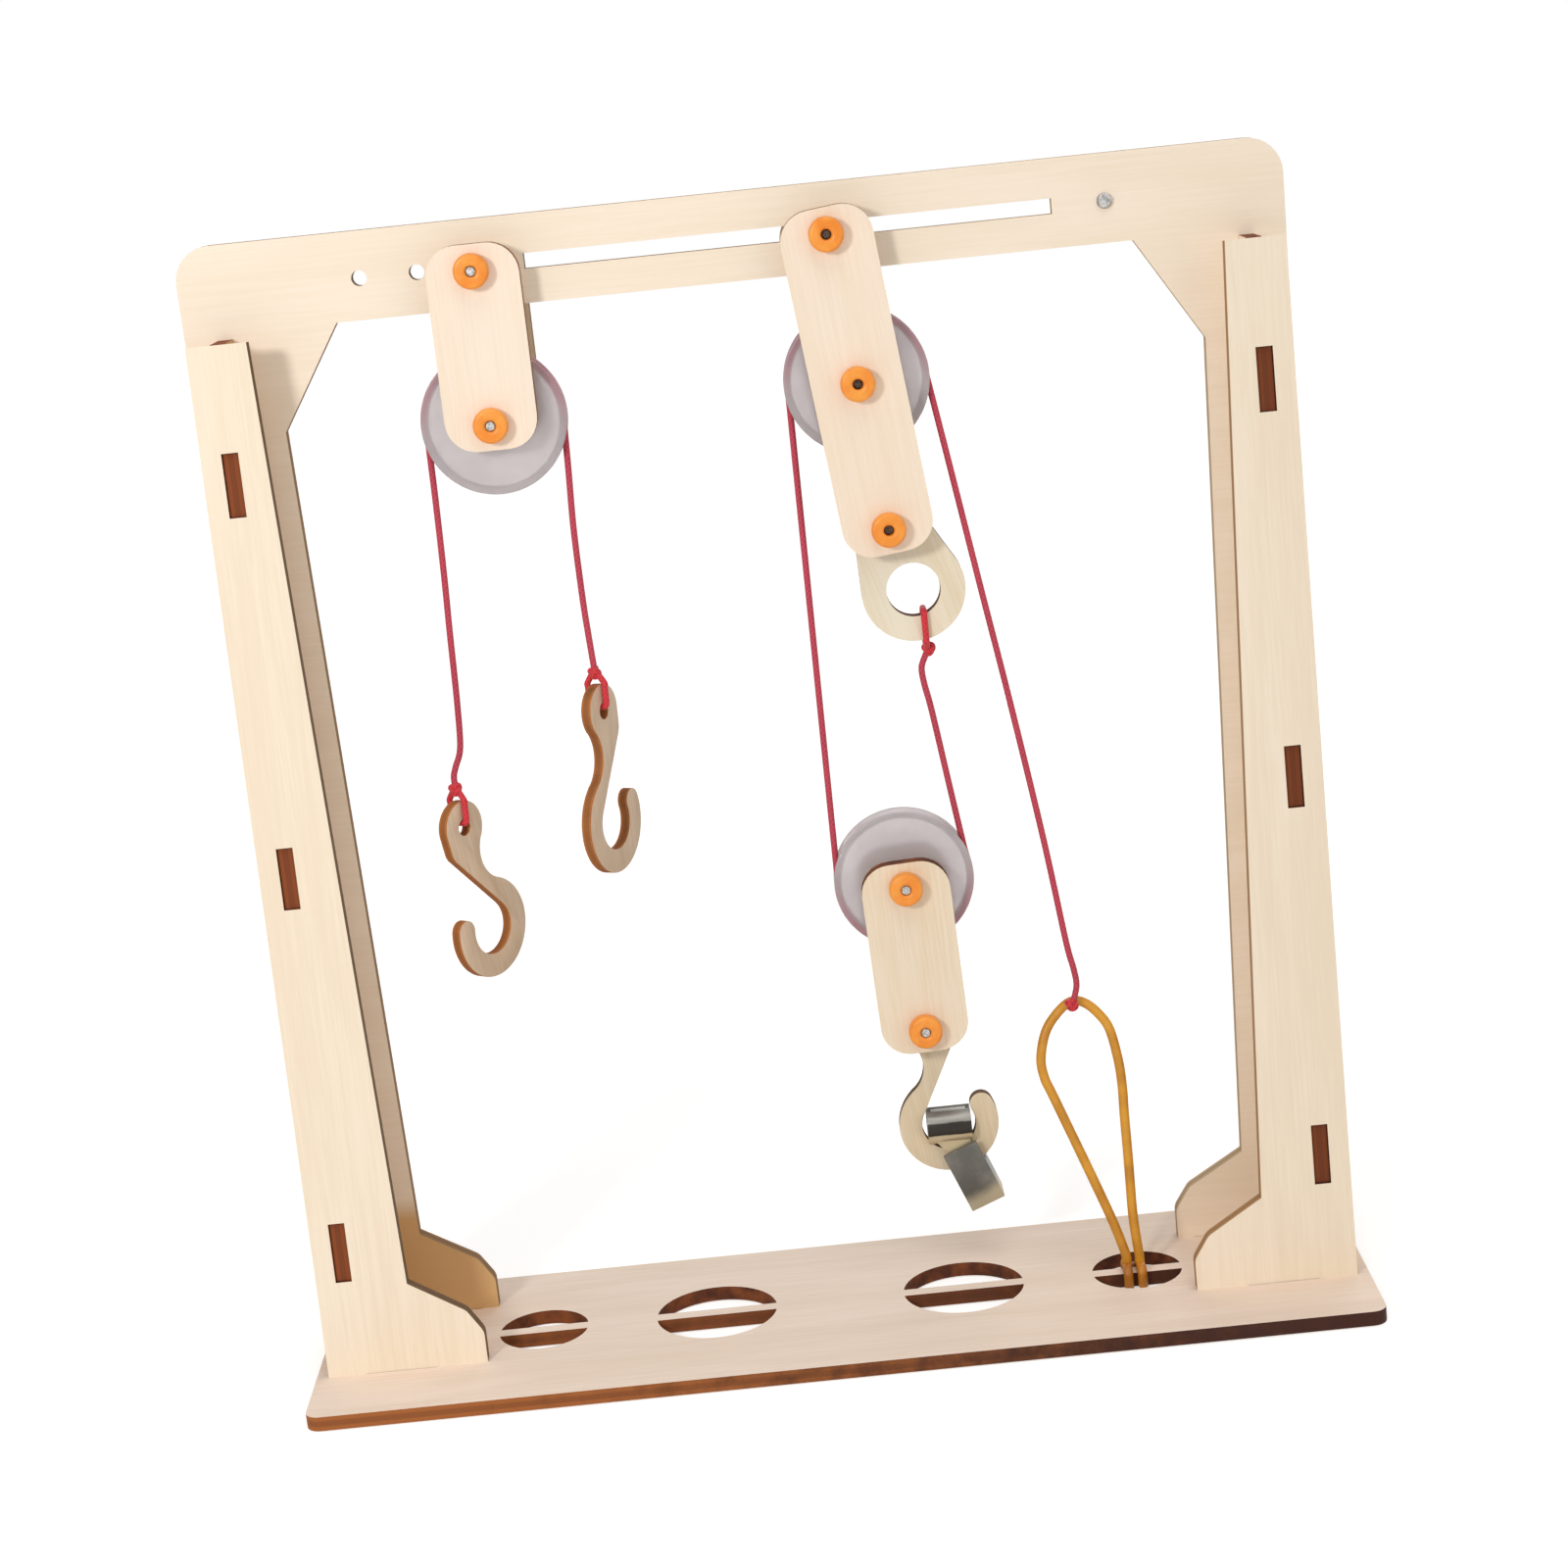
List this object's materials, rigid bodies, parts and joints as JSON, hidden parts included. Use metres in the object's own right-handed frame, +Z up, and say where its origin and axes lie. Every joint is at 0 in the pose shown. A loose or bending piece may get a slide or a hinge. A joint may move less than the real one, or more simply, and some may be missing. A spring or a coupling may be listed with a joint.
{
  "type": "pulley demonstrator",
  "caption": "Bench demonstrator of fixed and movable pulleys: a plywood frame on a base, corded pulleys in plywood blocks, hooks, a small weight and a rubber band.",
  "frame": {"origin": "centre of the base plate's footprint, on the surface it stands on", "axes": "+X to the right seen from the front posts' side, +Y to the back, +Z up"},
  "size_m": [0.215, 0.06, 0.228],
  "materials": {
    "plywood_sheet": "laser-cut birch plywood, bare faces, burnt edges",
    "steel_rod": "drawn rod, dull",
    "orange_cap": "soft orange tube",
    "clear_pulley": "translucent moulded",
    "red_cord": "twisted red cord",
    "band_rubber": "amber rubber band",
    "weight_steel": "dark metal, worn bright at its clip"
  },
  "bodies": {
    "frame": {"base_plate": "plywood_sheet", "main_frame": "plywood_sheet", "left_post": "plywood_sheet", "right_post": "plywood_sheet", "left_web": "plywood_sheet", "right_web": "plywood_sheet", "beam_peg": "steel_rod", "band_hitch": "band_rubber"},
    "left_block": {"left_plate_front": "plywood_sheet", "left_plate_rear": "plywood_sheet", "left_beam_axle": "steel_rod", "left_pulley_axle": "steel_rod", "left_caps": "orange_cap", "left_cord_top": "red_cord", "long_cord": "red_cord", "short_cord": "red_cord"},
    "left_wheel": {"left_pulley": "clear_pulley"},
    "long_drop": {"long_cord_knot": "red_cord"},
    "long_hanger": {"long_hook": "plywood_sheet", "long_hook_loop": "red_cord"},
    "short_drop": {"short_cord_knot": "red_cord"},
    "short_hanger": {"short_hook": "plywood_sheet", "short_hook_loop": "red_cord"},
    "trolley": {"trolley_axle": "steel_rod", "trolley_caps": "orange_cap"},
    "centre_block": {"centre_plate_front": "plywood_sheet", "centre_plate_rear": "plywood_sheet", "centre_pulley_axle": "steel_rod", "eye_plate_axle": "steel_rod", "centre_caps": "orange_cap", "lift_cord_top": "red_cord", "tail_cord": "red_cord"},
    "centre_wheel": {"centre_pulley": "clear_pulley"},
    "eye_link": {"eye_plate": "plywood_sheet", "eye_plate_knot": "red_cord"},
    "movable_block": {"movable_plate_front": "plywood_sheet", "movable_plate_rear": "plywood_sheet", "movable_pulley_axle": "steel_rod", "load_hook_axle": "steel_rod", "movable_caps": "orange_cap", "lift_cord_bottom": "red_cord", "lift_cord_left": "red_cord", "lift_cord_right": "red_cord"},
    "movable_wheel": {"movable_pulley": "clear_pulley"},
    "load_hanger": {"load_hook": "plywood_sheet"},
    "weight": {"weight_clip": "weight_steel", "weight_block": "weight_steel"},
    "band_end": {"band_knot": "red_cord", "rubber_band": "band_rubber"}
  },
  "joints": [
    {"name": "left_block_swing", "type": "hinge", "parent": "frame", "child": "left_block", "pos_m": [-0.0496, 0.0165, 0.21855], "axis": [0, 1, 0], "range_deg": [-6, 6]},
    {"name": "long_hook_lift", "type": "slide", "parent": "left_block", "child": "long_drop", "axis": [0, 0, 1], "range_m": [-0.034, 0.034], "deforming": ["long_cord"]},
    {"name": "left_wheel_turn", "type": "hinge", "parent": "left_block", "child": "left_wheel", "pos_m": [-0.0496, 0.0165, 0.18905], "axis": [0, 1, 0], "range_deg": [-146, 146]},
    {"name": "short_hook_lift", "type": "slide", "parent": "left_block", "child": "short_drop", "axis": [0, 0, 1], "range_m": [-0.0342, 0.0342], "deforming": ["short_cord"]},
    {"name": "long_hook_twist", "type": "hinge", "parent": "long_drop", "child": "long_hanger", "pos_m": [-0.067, 0.0165, 0.1079], "axis": [0, 0, 1], "continuous": true},
    {"name": "short_hook_twist", "type": "hinge", "parent": "short_drop", "child": "short_hanger", "pos_m": [-0.0361, 0.0165, 0.129], "axis": [0, 0, 1], "continuous": true},
    {"name": "trolley_slide", "type": "slide", "parent": "frame", "child": "trolley", "axis": [1, 0, 0], "range_m": [-0.02, 0.036]},
    {"name": "centre_block_swing", "type": "hinge", "parent": "trolley", "child": "centre_block", "pos_m": [0.0184, 0.0165, 0.21855], "axis": [0, 1, 0], "range_deg": [-7, 7], "stiffness_Nm_per_rad": 0.1, "deforming": ["tail_cord"]},
    {"name": "centre_wheel_turn", "type": "hinge", "parent": "centre_block", "child": "centre_wheel", "pos_m": [0.02173, 0.0165, 0.18974], "axis": [0, 1, 0], "range_deg": [-85, 85]},
    {"name": "eye_link_turn", "type": "hinge", "parent": "centre_block", "child": "eye_link", "pos_m": [0.02507, 0.0165, 0.16093], "axis": [0, 1, 0], "range_deg": [-2, 2]},
    {"name": "block_lift", "type": "slide", "parent": "centre_block", "child": "movable_block", "axis": [0, 0, 1], "range_m": [-0.009, 0.01], "stiffness_N_per_m": 60, "deforming": ["lift_cord_left", "lift_cord_right"]},
    {"name": "movable_wheel_turn", "type": "hinge", "parent": "movable_block", "child": "movable_wheel", "pos_m": [0.02173, 0.0165, 0.0879], "axis": [0, 1, 0], "range_deg": [-45, 45]},
    {"name": "load_hook_swing", "type": "hinge", "parent": "movable_block", "child": "load_hanger", "pos_m": [0.02302, 0.0165, 0.05733], "axis": [0, 1, 0], "range_deg": [-20, 20]},
    {"name": "weight_rock", "type": "hinge", "parent": "load_hanger", "child": "weight", "pos_m": [0.02632, 0.0165, 0.03381], "axis": [0, 1, 0], "range_deg": [-12, 24]},
    {"name": "band_pull", "type": "slide", "parent": "trolley", "child": "band_end", "axis": [0.1362, -0.0743, -0.9879], "range_m": [-0.0185, 0.0205], "deforming": ["rubber_band"]}
  ],
  "couplings": [
    {"joint": "left_wheel_turn", "follows": "long_hook_lift", "rad_per_m": 74.074},
    {"joint": "short_hook_lift", "follows": "long_hook_lift", "ratio": -1},
    {"joint": "movable_wheel_turn", "follows": "block_lift", "rad_per_m": 74.074},
    {"joint": "centre_wheel_turn", "follows": "block_lift", "rad_per_m": 148.15},
    {"joint": "eye_link_turn", "follows": "block_lift", "rad_per_m": -3},
    {"joint": "band_pull", "follows": "block_lift", "ratio": 2}
  ]
}
